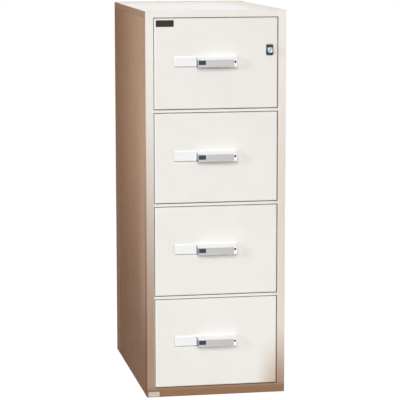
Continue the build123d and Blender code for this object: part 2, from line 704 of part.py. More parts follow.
        cut_round(SCREW_RIGHT_X, grip_centre, head_hole, GRIP_FRONT - CUT_OVERRUN, right_seat)
    save(pull, f"{drawer}_pull")

    # Card: plain white label in the holder
    with BuildPart() as card:
        with BuildSketch(upright(FACE - HOLDER_THICKNESS + CARD_RECESS)):
            with Locations((-PULL_LEFT_FOOT - HOLDER_LENGTH / 2, grip_centre)):
                Rectangle(HOLDER_LENGTH - 2 * HOLDER_RIM, PULL_HEIGHT - 2 * HOLDER_RIM)
        extrude(amount=CARD_THICKNESS)
    save(card, f"{drawer}_card")

    # Pull screws: one under the card, one in the right end of the pull
    with BuildPart() as pull_screws:
        for screw_x, seat in ((SCREW_LEFT_X, left_seat), (SCREW_RIGHT_X, right_seat)):
            with BuildSketch(upright(FACE + SCREW_BITE)):
                with Locations((screw_x, grip_centre)):
                    Circle(SCREW_RADIUS)
            extrude(amount=FACE + SCREW_BITE - seat)
            with BuildSketch(upright(seat)):
                with Locations((screw_x, grip_centre)):
                    Circle(SCREW_HEAD_RADIUS)
            extrude(amount=SCREW_HEAD_HEIGHT)
    save(pull_screws, f"{drawer}_pull_screws")

    # Thumb button: ribbed block in the pull's window, with the stem that works the latch
    with BuildPart() as thumb_button:
        button_front = GRIP_FRONT - BUTTON_PROUD + BUTTON_RIB_HEIGHT
        block(
            BUTTON_X - BUTTON_WIDTH / 2, BUTTON_X + BUTTON_WIDTH / 2,
            button_front, button_front + BUTTON_LENGTH,
            button_centre - BUTTON_HEIGHT / 2, button_centre + BUTTON_HEIGHT / 2,
        )
        with Locations((BUTTON_X, button_front - BUTTON_RIB_HEIGHT / 2, button_centre)):
            with GridLocations(BUTTON_WIDTH / BUTTON_RIB_COUNT, 1, BUTTON_RIB_COUNT, 1):
                Box(BUTTON_RIB_WIDTH, BUTTON_RIB_HEIGHT, BUTTON_HEIGHT - BUTTON_RIB_WIDTH)
        with BuildSketch(upright(BOLT_BACK - BUTTON_TRAVEL)):
            with Locations((BUTTON_X, button_centre)):
                Circle(STEM_RADIUS)
        extrude(amount=BOLT_BACK - BUTTON_TRAVEL - button_front - BUTTON_LENGTH)
    save(thumb_button, f"{drawer}_thumb_button")

    # Latch bolt: flat bar across the head, drawn in when the button is pressed
    with BuildPart() as latch_bolt:
        block(
            BOLT_TIP, BOLT_END,
            BOLT_FRONT, BOLT_BACK,
            button_centre - BOLT_HEIGHT / 2, button_centre + BOLT_HEIGHT / 2,
        )
        tip_edges = latch_bolt.edges().filter_by(Axis.Z).group_by(Axis.X)[0]
        chamfer(tip_edges.sort_by(Axis.Y)[-1], BOLT_THICKNESS / 2)
        block(
            BUTTON_X - STEM_RADIUS - STEM_CLEARANCE - BOLT_TRAVEL, BUTTON_X + STEM_RADIUS + STEM_CLEARANCE,
            BOLT_FRONT, BOLT_BACK,
            button_centre - STEM_RADIUS - STEM_CLEARANCE, button_centre + STEM_RADIUS + STEM_CLEARANCE,
            mode=Mode.SUBTRACT,
        )
    save(latch_bolt, f"{drawer}_latch_bolt")

# Name plate: bare plate at the top left of the top drawer
with BuildPart() as name_plate:
    with BuildSketch(upright(FACE)):
        with Locations((
            -HALF_HEAD + NAME_PLATE_FROM_LEFT + NAME_PLATE_WIDTH / 2,
            opening_centre(1) + HEAD_HEIGHT / 2 - NAME_PLATE_FROM_TOP - NAME_PLATE_HEIGHT / 2,
        )):
            RectangleRounded(NAME_PLATE_WIDTH, NAME_PLATE_HEIGHT, PLATE_CORNER_RADIUS)
    extrude(amount=NAME_PLATE_THICKNESS)
save(name_plate, "name_plate")

# Lock housing: rounded plate on the drawer face, and the sleeve behind it
with BuildPart() as lock_housing:
    with BuildSketch(upright(FACE)):
        with Locations((LOCK_X, LOCK_Z)):
            RectangleRounded(LOCK_PLATE_WIDTH, LOCK_PLATE_HEIGHT, LOCK_PLATE_RADIUS)
    extrude(amount=LOCK_PLATE_THICKNESS)
    sleeve_end = HEAD_BACK - HEAD_SHEET - LOCK_SLEEVE_END_GAP
    with BuildSketch(upright(sleeve_end)):
        with Locations((LOCK_X, LOCK_Z)):
            Circle(LOCK_SLEEVE_RADIUS)
    extrude(amount=sleeve_end - FACE)
    cut_round(
        LOCK_X, LOCK_Z, PLUNGER_RADIUS + TURNING_CLEARANCE,
        FACE - LOCK_PLATE_THICKNESS - CUT_OVERRUN, sleeve_end + CUT_OVERRUN,
    )
save(lock_housing, "lock_housing")

# Lock plunger: pushed in to lock all drawers
PLUNGER_FRONT = FACE - LOCK_PLATE_THICKNESS - PLUNGER_REACH
with BuildPart() as lock_plunger:
    with BuildSketch(upright(FACE + PLUNGER_BURIED)):
        with Locations((LOCK_X, LOCK_Z)):
            Circle(PLUNGER_RADIUS)
    extrude(amount=FACE + PLUNGER_BURIED - PLUNGER_FRONT)
    fillet(lock_plunger.faces().sort_by(Axis.Y)[0].edges(), PLUNGER_EDGE_RADIUS)
    cut_round(
        LOCK_X, LOCK_Z, PLUG_RADIUS + TURNING_CLEARANCE,
        PLUNGER_FRONT - CUT_OVERRUN, PLUNGER_FRONT + PLUG_SEAT_DEPTH,
    )
save(lock_plunger, "lock_plunger")

# Lock plug: turned by the key inside the plunger
with BuildPart() as lock_plug:
    with BuildSketch(upright(PLUNGER_FRONT + PLUG_SEAT_DEPTH)):
        with Locations((LOCK_X, LOCK_Z)):
            Circle(PLUG_RADIUS)
    extrude(amount=PLUG_SEAT_DEPTH)
    block(
        LOCK_X - KEYWAY_WIDTH / 2, LOCK_X + KEYWAY_WIDTH / 2,
        PLUNGER_FRONT, PLUNGER_FRONT + KEYWAY_DEPTH,
        LOCK_Z - KEYWAY_HEIGHT / 2, LOCK_Z + KEYWAY_HEIGHT / 2,
        mode=Mode.SUBTRACT,
    )
save(lock_plug, "lock_plug")
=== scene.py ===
"""Looks of a four-drawer fire-resistant filing cabinet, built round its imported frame.

Lengths in the classes are millimetres, as a cabinet maker gives them, in the frame's axes: +Z up, +X to the
right of someone facing the drawers, drawers opening towards -Y. Meshes are in metres.
"""

import json
import logging
from collections.abc import Callable, Iterator
from contextlib import contextmanager
from dataclasses import dataclass, field
from enum import Enum
from math import pi, radians
from typing import Any

import bmesh
import bpy
from mathutils import Matrix, Vector


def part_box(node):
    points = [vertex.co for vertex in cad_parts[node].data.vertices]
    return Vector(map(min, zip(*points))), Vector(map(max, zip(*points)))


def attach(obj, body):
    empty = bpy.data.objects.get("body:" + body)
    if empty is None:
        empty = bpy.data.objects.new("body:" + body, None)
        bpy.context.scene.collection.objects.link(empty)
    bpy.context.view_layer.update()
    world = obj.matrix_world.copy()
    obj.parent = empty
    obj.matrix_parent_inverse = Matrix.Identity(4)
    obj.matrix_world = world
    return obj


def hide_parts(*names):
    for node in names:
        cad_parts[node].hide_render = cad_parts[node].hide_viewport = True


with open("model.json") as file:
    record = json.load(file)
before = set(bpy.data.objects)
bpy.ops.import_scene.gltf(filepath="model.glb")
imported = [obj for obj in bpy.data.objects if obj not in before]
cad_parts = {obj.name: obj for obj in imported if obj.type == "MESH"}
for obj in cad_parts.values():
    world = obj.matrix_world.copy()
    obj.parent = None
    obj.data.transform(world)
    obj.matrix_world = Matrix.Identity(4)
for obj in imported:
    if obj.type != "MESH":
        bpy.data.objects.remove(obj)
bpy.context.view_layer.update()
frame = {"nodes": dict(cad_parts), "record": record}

MM = 0.001
DRAWERS = (1, 2, 3, 4)
# Name of the face attribute that marks where painted shade goes
SHADED = "shaded"
WHITE = "#ffffff"
# How near to a place a point counts as being there, and how far a cutter or joint reaches past the surface
NEAR = 1.0
OVERRUN = 1.0
# Least cosine at which a face or an edge counts as pointing along an axis, or as leaning that way
FACING = 0.9
LEANING = 0.5
# Sides of a small and of a thin round piece
SMALL_ROUND = 32
THIN_ROUND = 24
# How much further than rounding the smoothing of faces goes, in degrees
SMOOTH_BEYOND = 10.0
# Sockets of a mix node that is set to colours: the share, the two colours and the result
MIX_SHARE, MIX_FIRST, MIX_SECOND, MIX_RESULT = 0, 6, 7, 2
# Range that noise mostly keeps to, and how fine it is
NOISE_LOW, NOISE_HIGH = 0.3, 0.7
NOISE_DETAIL = 3.0
# Share by which handling makes the roughness uneven, and how much finer its patches are than the colour's
HANDLING = 0.1
HANDLING_FINENESS = 3
log = logging.getLogger("cabinet")

Piece = bpy.types.Object
Tree = bpy.types.NodeTree
Socket = bpy.types.NodeSocket


class Axis(Enum):
    """Axis of the frame, by its place in a point."""

    X = 0
    Y = 1
    Z = 2


def linear(code: str) -> tuple[float, float, float, float]:
    """Turn an sRGB hex colour into linear light.

    Args:
        code: Colour as "#rrggbb".

    Returns:
        Red, green, blue and full opacity, in linear light.
    """
    levels = (int(code[place:place + 2], 16) / 255 for place in (1, 3, 5))
    red, green, blue = (v / 12.92 if v <= 0.04045 else ((v + 0.055) / 1.055) ** 2.4 for v in levels)
    return red, green, blue, 1.0


def add_node(
    tree: Tree,
    kind: str,
    values: dict[str | int, Any] | None = None,
    links: dict[str | int, Socket] | None = None,
    **settings: Any,
) -> bpy.types.Node:
    """Add a node with its settings, its constant inputs and its links.

    Args:
        tree: Node tree that takes the node.
        kind: Blender's name for the kind of shader node, without its first two words.
        values: Constant for each input socket named.
        links: Output socket that feeds each input socket named.
        **settings: The node's own settings.

    Returns:
        The new node.
    """
    node = tree.nodes.new("ShaderNode" + kind)
    for name, value in settings.items():
        setattr(node, name, value)
    for socket, value in (values or {}).items():
        node.inputs[socket].default_value = value
    for socket, source in (links or {}).items():
        tree.links.new(source, node.inputs[socket])
    return node


# Finishes


@dataclass(frozen=True)
class Ramp:
    """Value that grows along one axis of the cabinet.

    Attributes:
        axis: Axis that it grows along.
        start: Place where it starts, in millimetres.
        full: Place where it is full.
    """

    axis: Axis
    start: float
    full: float

    def draw(self, tree: Tree, place: bpy.types.Node, strength: float = 1) -> Socket:
        """Draw the ramp.

        Args:
            tree: Material's node tree.
            place: Separate XYZ node with the place in metres.
            strength: Value where it is full.

        Returns:
            Socket with the value.
        """
        return add_node(
            tree, "MapRange",
            {"From Min": self.start * MM, "From Max": self.full * MM, "To Max": strength},
            {"Value": place.outputs[self.axis.value]},
            interpolation_type="SMOOTHSTEP",
        ).outputs["Result"]


@dataclass(frozen=True)
class Wash:
    """A second colour that grows along one axis of the cabinet.

    Attributes:
        colour: The second colour.
        axis: Axis that it grows along.
        start: Place where it starts, in millimetres.
        full: Place where it is full.
        strength: Share of the colour where it is full.
        within: Ramps that keep it to one part of the cabinet.
    """

    colour: str
    axis: Axis
    start: float
    full: float
    strength: float = 1.0
    within: tuple[Ramp, ...] = ()

    def mask(self, tree: Tree, place: bpy.types.Node) -> Socket:
        """Draw the wash as a value from 0 to its strength.

        Args:
            tree: Material's node tree.
            place: Separate XYZ node with the place in metres.

        Returns:
            Socket with the value.
        """
        value = Ramp(self.axis, self.start, self.full).draw(tree, place, self.strength)
        for ramp in self.within:
            limit = ramp.draw(tree, place)
            product = add_node(tree, "Math", {}, {0: value, 1: limit}, operation="MULTIPLY")
            value = product.outputs[0]
        return value


@dataclass(frozen=True)
class Finish:
    """What a surface is made of, and how its colour varies.

    Attributes:
        name: Real material and process.
        colour: Base colour.
        roughness: Shader roughness.
        metallic: 1 for bare metal.
        coat: Weight of a clear glossy layer.
        gloss: Shader specular level, 0.5 for a bare smooth surface.
        mottle: Depth of slow colour variation, as a share.
        mottle_size: Size of that variation.
        grain: Height of the surface's texture.
        grain_size: Size of one bump of the texture.
        stretch: How much the texture is drawn out along each axis.
        washes: Colours that grow along the cabinet.
        shade: Colour of the painted shade on the faces that are marked as shaded.
    """

    name: str
    colour: str
    roughness: float = 0.5
    metallic: float = 0.0
    coat: float = 0.0
    gloss: float = 0.5
    mottle: float = 0.02
    mottle_size: float = 90.0
    grain: float = 0.0
    grain_size: float = 3.0
    stretch: tuple[float, float, float] = (1.0, 1.0, 1.0)
    washes: tuple[Wash, ...] = ()
    shade: str = ""

    def build(self) -> bpy.types.Material:
        """Make the material from nodes.

        Returns:
            The material.
        """
        material = bpy.data.materials.new(self.name)
        material.use_nodes = True
        tree = material.node_tree
        shader = tree.nodes["Principled BSDF"]
        shader.inputs["Metallic"].default_value = self.metallic
        shader.inputs["Coat Weight"].default_value = self.coat
        shader.inputs["Specular IOR Level"].default_value = self.gloss
        here = add_node(tree, "TexCoord").outputs["Object"]
        tree.links.new(self.tint(tree, here), shader.inputs["Base Color"])
        patches = self.mottle_size / HANDLING_FINENESS
        tree.links.new(self.spread(tree, here, patches, self.roughness, HANDLING), shader.inputs["Roughness"])
        if self.grain:
            tree.links.new(self.relief(tree, here), shader.inputs["Normal"])
        return material

    def noise(self, tree: Tree, here: Socket, size: float) -> Socket:
        """Draw noise whose lumps have a real size.

        Args:
            tree: Material's node tree.
            here: Place in metres.
            size: Width of one lump, in millimetres.

        Returns:
            Socket with values round a half.
        """
        scale = [1 / s for s in self.stretch]
        drawn_out = add_node(tree, "Mapping", {"Scale": scale}, {"Vector": here})
        return add_node(
            tree, "TexNoise", {"Scale": 1 / (size * MM), "Detail": NOISE_DETAIL},
            {"Vector": drawn_out.outputs["Vector"]},
        ).outputs["Fac"]

    def spread(self, tree: Tree, here: Socket, size: float, middle: float, share: float) -> Socket:
        """Draw a value that varies slowly round its middle.

        Args:
            tree: Material's node tree.
            here: Place in metres.
            size: Width of one patch, in millimetres.
            middle: Middle of the value.
            share: Share of it by which it goes up and down.

        Returns:
            Socket with the value.
        """
        return add_node(
            tree, "MapRange",
            {
                "From Min": NOISE_LOW,
                "From Max": NOISE_HIGH,
                "To Min": middle * (1 - share),
                "To Max": middle * (1 + share),
            },
            {"Value": self.noise(tree, here, size)},
        ).outputs["Result"]

    def tint(self, tree: Tree, here: Socket) -> Socket:
        """Draw the colour, with its washes and its slow variation.

        Args:
            tree: Material's node tree.
            here: Place in metres.

        Returns:
            Socket with the colour.
        """
        place = add_node(tree, "SeparateXYZ", {}, {"Vector": here})
        shade = self.spread(tree, here, self.mottle_size, 1.0, self.mottle)
        grey = add_node(tree, "CombineColor", {}, {channel: shade for channel in range(3)})
        colour = add_node(
            tree, "Mix", {MIX_SHARE: 1.0, MIX_FIRST: linear(self.colour)},
            {MIX_SECOND: grey.outputs["Color"]}, data_type="RGBA", blend_type="MULTIPLY",
        ).outputs[MIX_RESULT]
        for wash in self.washes:
            colour = add_node(
                tree, "Mix", {MIX_SECOND: linear(wash.colour)},
                {MIX_SHARE: wash.mask(tree, place), MIX_FIRST: colour}, data_type="RGBA",
            ).outputs[MIX_RESULT]
        if self.shade:
            marks = add_node(tree, "Attribute", attribute_name=SHADED).outputs["Fac"]
            colour = add_node(
                tree, "Mix", {MIX_SECOND: linear(self.shade)},
                {MIX_SHARE: marks, MIX_FIRST: colour}, data_type="RGBA",
            ).outputs[MIX_RESULT]
        return colour

    def relief(self, tree: Tree, here: Socket) -> Socket:
        """Draw the surface's fine texture as a bump.

        Args:
            tree: Material's node tree.
            here: Place in metres.

        Returns:
            Socket with the bumped normal.
        """
        return add_node(
            tree, "Bump", {"Strength": 1.0, "Distance": self.grain * MM},
            {"Height": self.noise(tree, here, self.grain_size)},
        ).outputs["Normal"]


# Sprayed and baked enamel: an even satin skin with faint orange peel, drawn 4 mm wide so that it shows
DRAWER_ENAMEL = Finish(
    "cream enamel, sprayed and baked", "#f0ebe2", roughness=0.5, gloss=0.3, grain=0.02, grain_size=4.0,
    mottle=0.012,
    washes=(
        # Painted shade: darker on the rolled returns inside the gaps round the fronts, except on the left of
        # the top and bottom drawers
        Wash("#8c6c53", Axis.Y, -375, -369, within=(Ramp(Axis.X, -219.4, -218.9),)),
        Wash("#8c6c53", Axis.Y, -375, -369, within=(Ramp(Axis.Z, 1060, 1000), Ramp(Axis.Z, 330, 400))),
        # Painted shade: the bottom drawer darker towards its lower right corner
        Wash("#c9af92", Axis.Z, 230, 10, within=(Ramp(Axis.X, 130, 225),)),
    ),
)
# The same enamel on the face frame, cream above, with painted shade: darker and browner down the stiles and
# the bottom rail towards the floor, inside the openings, and along the left corner
FRAME_ENAMEL = Finish(
    "cream enamel on the face frame, sprayed and baked", "#f1ebe1", roughness=0.5, gloss=0.3, grain=0.02,
    grain_size=4.0, mottle=0.012,
    washes=(
        Wash("#e3d2c2", Axis.Z, 1340, 650, strength=0.85, within=(Ramp(Axis.X, 180, 240),)),
        Wash("#ab8c73", Axis.Z, 1240, 150, within=(Ramp(Axis.X, -221.5, -224),)),
        Wash("#a3826a", Axis.Z, 270, 0, within=(Ramp(Axis.X, -224, -219),)),
        Wash("#916d4f", Axis.Z, 40, 20),
        Wash("#8c6c53", Axis.Y, -372, -366),
        Wash("#7a5a40", Axis.X, -246, -249.5, strength=0.4, within=(Ramp(Axis.Z, 1340, 500),)),
    ),
)
BEHIND_FACE = Ramp(Axis.Y, -375.5, -373)
BELOW_TOP = Ramp(Axis.Z, 1371.8, 1370)
# Enamel masked and sprayed twice: a flat cream top, lighter at the front left and darker towards the rear and
# the right as painted light and shade, tan in its rear corner as painted shade, and on its skirt a tan that
# is partly its own colour and partly painted shade, deeper towards the rear
TOP_ENAMEL = Finish(
    "cream and tan enamel on the top cover, masked and sprayed", "#fdfcfb", roughness=0.6, gloss=0.15,
    grain=0.02, grain_size=4.0,
    washes=(
        Wash("#efeae2", Axis.Y, -100, 400),
        Wash("#e6dfd4", Axis.X, 80, 250, strength=0.9),
        Wash("#c9b193", Axis.Y, 300, 410, strength=0.8),
        Wash("#b08a6b", Axis.Z, 1371.8, 1370, within=(BEHIND_FACE,)),
        Wash("#8d6443", Axis.Y, -380, 400, within=(BELOW_TOP, BEHIND_FACE)),
        Wash("#7b5a41", Axis.Z, 1351, 1350, strength=0.6, within=(BEHIND_FACE,)),
    ),
)
# Enamel sprayed thinner than on the front: a flat tan that is partly the case's own colour and partly painted
# shade, with painted shade deeper towards the rear and the floor and in a band behind the front corner, and
# painted light towards the front
CASE_ENAMEL = Finish(
    "tan enamel on the case, sprayed and baked", "#c69e80", roughness=0.7, gloss=0.12, grain=0.02,
    grain_size=4.0,
    washes=(
        Wash("#8e6446", Axis.Y, -380, 400),
        Wash("#674229", Axis.Z, 1150, 120, strength=0.75),
        Wash("#846f62", Axis.Y, 318, 327, strength=0.8, within=(Ramp(Axis.Y, 336, 331),)),
        Wash("#916039", Axis.Y, 331, 337, strength=0.5),
        Wash(
            "#dbb08f", Axis.Y, -130, -370, strength=0.42,
            within=(Ramp(Axis.Z, 1300, 900), Ramp(Axis.Z, 100, 450)),
        ),
        Wash("#493220", Axis.Y, -330, -352, strength=0.5, within=(Ramp(Axis.Z, 1000, 350),)),
    ),
)
# Die-cast zinc, chromium plated: bright facets, softly blurred, and a brushed face painted darker as painted
# shade of its reflection; the faces marked as shaded take painted shade
PULL_METAL = Finish(
    "zinc casting, chromium plated, its face brushed dull", "#faf9fa", roughness=0.36, metallic=1.0,
    grain=0.004, grain_size=0.9, stretch=(16.0, 1.0, 1.0), mottle=0.02, mottle_size=14.0,
    washes=(Wash("#bab9b9", Axis.Y, -407.6, -408.9),), shade="#6f665e",
)
# Chromium plate on turned brass: a hard bright mirror, with painted shade darkening the plunger towards its
# right-hand side
LOCK_CHROME = Finish(
    "turned brass, bright chromium plated", "#ccd4e2", roughness=0.1, metallic=1.0, mottle=0.01,
    mottle_size=8.0, washes=(Wash("#8d8794", Axis.X, 194.5, 198.5),),
)
# Stoved black enamel on a die casting: deep black, with a soft highlight
LOCK_ENAMEL = Finish(
    "black enamel on die casting, stoved", "#17181b", roughness=0.3, coat=0.3, grain=0.008, grain_size=1.0,
)
# Moulded ABS with a fine spark-eroded grain: navy, without shine
BUTTON_PLASTIC = Finish(
    "navy ABS, moulded", "#2a3040", roughness=0.5, grain=0.02, grain_size=0.8, mottle=0.04, mottle_size=10.0,
)
# Uncoated card: matt white with short fibres
CARD_STOCK = Finish(
    "white card, calendered", "#f6f3f0", roughness=0.9, grain=0.01, grain_size=0.7, mottle=0.01,
    mottle_size=5.0,
)
# Aluminium foil plates: one dark bronze anodised and nearly black, one brushed and silvery
DARK_PLATE = Finish(
    "aluminium, dark bronze anodised", "#2a1e15", roughness=0.45, metallic=0.5, grain=0.004, grain_size=0.6,
    stretch=(14.0, 1.0, 1.0), mottle=0.05, mottle_size=4.0,
)
BRIGHT_PLATE = Finish(
    "aluminium, brushed", "#c6b9ae", roughness=0.35, metallic=0.8, grain=0.006, grain_size=0.6,
    stretch=(14.0, 1.0, 1.0), mottle=0.05, mottle_size=3.0,
)
# Hot-dip galvanised sheet: grey, with the slow cloudiness of its zinc crystals
GALVANISED = Finish(
    "mild steel sheet, galvanised", "#b4b6b8", roughness=0.42, metallic=0.85, grain=0.01, grain_size=5.0,
    mottle=0.12, mottle_size=14.0,
)
# Cold-rolled and zinc-plated slide channels: brighter, with drawn-out roll lines
SLIDE_ZINC = Finish(
    "cold-rolled steel, zinc plated", "#c6c8ca", roughness=0.3, metallic=0.95, grain=0.004, grain_size=1.0,
    stretch=(1.0, 30.0, 1.0), mottle=0.05, mottle_size=6.0,
)
# Blackened steel: a soft dark sheen, dark enough to stand in for the shade in the pull's deep screw seat
SCREW_STEEL = Finish(
    "steel, black oxide", "#2b2b2d", roughness=0.5, metallic=0.6, mottle=0.04, mottle_size=3.0,
)
# Cast gypsum and vermiculite: chalky and coarse
INSULATION = Finish(
    "gypsum concrete, cast", "#d8d4ca", roughness=0.95, grain=0.3, grain_size=6.0, mottle=0.08,
    mottle_size=10.0,
)

SLOT_FINISHES = {
    "frame_paint": FRAME_ENAMEL,
    "case_paint": CASE_ENAMEL,
    "top_paint": TOP_ENAMEL,
    "drawer_paint": DRAWER_ENAMEL,
    "pull_metal": PULL_METAL,
    "card": CARD_STOCK,
    "button_plastic": BUTTON_PLASTIC,
    "lock_plate": LOCK_ENAMEL,
    "lock_chrome": LOCK_CHROME,
    "name_plate": DARK_PLATE,
    "plate_aluminium": BRIGHT_PLATE,
    "bare_steel": GALVANISED,
    "slide_steel": SLIDE_ZINC,
    "screw_steel": SCREW_STEEL,
    "insulation": INSULATION,
}


class Palette:
    """The materials, each built once."""

    def __init__(self) -> None:
        """Build every slot's material."""
        self.materials = {slot: finish.build() for slot, finish in SLOT_FINISHES.items()}

    def dress(self, piece: Piece, slot: str) -> None:
        """Give a piece or a CAD node the material of a slot, and nothing else."""
        piece.data.materials.clear()
        piece.data.materials.append(self.materials[slot])


# Modelling by hand


def deselect() -> None:
    """Deselect every object."""
    for other in list(bpy.context.selected_objects):
        other.select_set(False)


def take(piece: Piece) -> None:
    """Select one object alone and make it the active one.

    Args:
        piece: Object to select.
    """
    deselect()
    piece.select_set(True)
    bpy.context.view_layer.objects.active = piece


def settle(piece: Piece, name: str) -> Piece:
    """Put a piece's place, turn and size into its mesh, and name it.

    Args:
        piece: Object to settle.
        name: New name of the object and its mesh.

    Returns:
        The same object.
    """
    take(piece)
    bpy.ops.object.transform_apply(location=True, rotation=True, scale=True)
    piece.name = name
    piece.data.name = name
    return piece


def block(name: str, low: Vector, high: Vector) -> Piece:
    """Add a block between two corners.

    Args:
        name: Name of the object.
        low: Lowest corner, in millimetres.
        high: Highest corner, in millimetres.

    Returns:
        The block.
    """
    deselect()
    bpy.ops.mesh.primitive_cube_add(size=1, location=(low + high) / 2 * MM)
    piece = bpy.context.object
    piece.scale = (high - low) * MM
    return settle(piece, name)


def rod(name: str, centre: Vector, radius: float, length: float, sides: int = 64) -> Piece:
    """Add a round bar along Y.

    Args:
        name: Name of the object.
        centre: Middle of its front end, in millimetres.
        radius: Radius.
        length: Length towards +Y.
        sides: Number of sides.

    Returns:
        The bar.
    """
    deselect()
    middle = centre + Vector((0, length / 2, 0))
    bpy.ops.mesh.primitive_cylinder_add(
        vertices=sides, radius=radius * MM, depth=length * MM, location=middle * MM, rotation=(pi / 2, 0, 0),
    )
    return settle(bpy.context.object, name)


@contextmanager
def editing(piece: Piece) -> Iterator[None]:
    """Edit a piece, with nothing of it selected at the start.

    Args:
        piece: Object to edit.

    Yields:
        Nothing, while the piece is in edit mode.
    """
    take(piece)
    bpy.ops.object.mode_set(mode="EDIT")
    bpy.ops.mesh.select_mode(type="FACE")
    bpy.ops.mesh.select_all(action="DESELECT")
    yield
    bpy.ops.object.mode_set(mode="OBJECT")


def select_faces(piece: Piece, wanted: Callable[[Vector, Vector], bool]) -> None:
    """Select the faces of the piece in edit mode whose middle and normal pass a test.

    Args:
        piece: Object in edit mode.
        wanted: Test of a face's middle, in millimetres, and its normal.
    """
    mesh = bmesh.from_edit_mesh(piece.data)
    for face in mesh.faces:
        face.select_set(wanted(face.calc_center_median() / MM, face.normal))
    bmesh.update_edit_mesh(piece.data)


def select_edges(piece: Piece, wanted: Callable[[Vector, Vector], bool]) -> None:
    """Select the edges of the piece in edit mode whose two ends pass a test.

    Args:
        piece: Object in edit mode.
        wanted: Test of an edge's two ends, in millimetres.
    """
    bpy.ops.mesh.select_mode(type="EDGE")
    mesh = bmesh.from_edit_mesh(piece.data)
    for edge in mesh.edges:
        start, end = (v.co / MM for v in edge.verts)
        edge.select_set(wanted(start, end))
    bmesh.update_edit_mesh(piece.data)


def runs_deep(start: Vector, end: Vector) -> bool:
    """Tell whether the edge between two ends runs along Y."""
    return abs((end - start).normalized().y) > FACING


def faces_front(middle: Vector, normal: Vector) -> bool:
    """Tell whether a face looks out of the front of the cabinet."""
    return normal.y < -FACING


def slice_off(piece: Piece, point: Vector, outward: Vector) -> None:
    """Cut a piece with a plane, close the cut, and drop what lies outside.

    Args:
        piece: Object to cut.
        point: Point on the plane, in millimetres.
        outward: Direction of the side that goes.
    """
    with editing(piece):
        bpy.ops.mesh.select_all(action="SELECT")
        bpy.ops.mesh.bisect(
            plane_co=point * MM, plane_no=outward.normalized(), use_fill=True, clear_outer=True,
        )


def combine(piece: Piece, tool: Piece, operation: str) -> None:
    """Join a piece with another solid, or cut it by that solid, which is used up.

    Args:
        piece: Object that stays.
        tool: Object that goes.
        operation: UNION or DIFFERENCE.
    """
    take(piece)
    modifier = piece.modifiers.new("combine", "BOOLEAN")
    modifier.object = tool
    modifier.operation = operation
    modifier.solver = "EXACT"
    bpy.ops.object.modifier_apply(modifier=modifier.name)
    bpy.data.objects.remove(tool)


def soften(piece: Piece, radius: float, segments: int = 2, corner: float = 30.0) -> None:
    """Round a piece's sharp edges and smooth its curved faces.

    Args:
        piece: Object to finish.
        radius: Width of the rounding, in millimetres.
        segments: Steps in the rounding.
        corner: Least angle between faces that counts as an edge, in degrees.
    """
    take(piece)
    modifier = piece.modifiers.new("soften", "BEVEL")
    modifier.width = radius * MM
    modifier.segments = segments
    modifier.limit_method = "ANGLE"
    modifier.angle_limit = radians(corner)
    modifier.use_clamp_overlap = True
    bpy.ops.object.modifier_apply(modifier=modifier.name)
    bpy.ops.object.shade_smooth_by_angle(angle=radians(corner + SMOOTH_BEYOND))
    weights = piece.modifiers.new("even", "WEIGHTED_NORMAL")
    weights.keep_sharp = True
    bpy.ops.object.modifier_apply(modifier=weights.name)


def mark_shaded(piece: Piece, share: Callable[[Vector, Vector], float]) -> None:
    """Mark how far each face of a piece takes its finish's painted shade.

    Args:
        piece: Finished piece.
        share: Share from 0 to 1, worked out from a face's middle, in millimetres, and its normal.
    """
    marks = piece.data.attributes.new(SHADED, "FLOAT", "FACE")
    for face in piece.data.polygons:
        marks.data[face.index].value = share(face.center / MM, face.normal)


def copy_at(piece: Piece, name: str, offset: Vector) -> Piece:
    """Copy a piece with its own mesh, set off from the first.

    Args:
        piece: Object to copy.
        name: Name of the copy.
        offset: How far it stands from the first, in millimetres.

    Returns:
        The copy.
    """
    twin = piece.copy()
    twin.data = piece.data.copy()
    bpy.context.scene.collection.objects.link(twin)
    twin.data.transform(Matrix.Translation(offset * MM))
    twin.name = name
    twin.data.name = name
    return twin


def cad_box(node: str) -> tuple[Vector, Vector]:
    """Return the lowest and the highest corner of a CAD node, in millimetres."""
    low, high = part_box(node)
    return low / MM, high / MM


# Sub-assemblies


@dataclass
class Assembly:
    """Pieces that are made and dressed together.

    Attributes:
        palette: Materials of the cabinet.
    """

    palette: Palette

    def hand_over(self, piece: Piece, body: str, slot: str, *nodes: str) -> None:
        """Dress a piece, let it ride on its body, and hide the CAD nodes that it stands for.

        Args:
            piece: Finished piece.
            body: Body that it moves with.
            slot: Material slot.
            *nodes: CAD nodes that it replaces.
        """
        self.palette.dress(piece, slot)
        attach(piece, body)
        if nodes:
            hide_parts(*nodes)
        log.info("%s rides on %s in %s, %d faces", piece.name, body, slot, len(piece.data.polygons))


@dataclass
class Carcass(Assembly):
    """The nodes that keep the shape they were drawn with: case, heads, trays, slides and works."""

    def build(self) -> None:
        """Give every CAD node the material of its slot."""
        for part in frame["record"]["subparts"]:
            node = frame["nodes"][part["node"]]
            self.palette.dress(node, part["material_slot"])
        log.info("dressed %d nodes", len(frame["nodes"]))


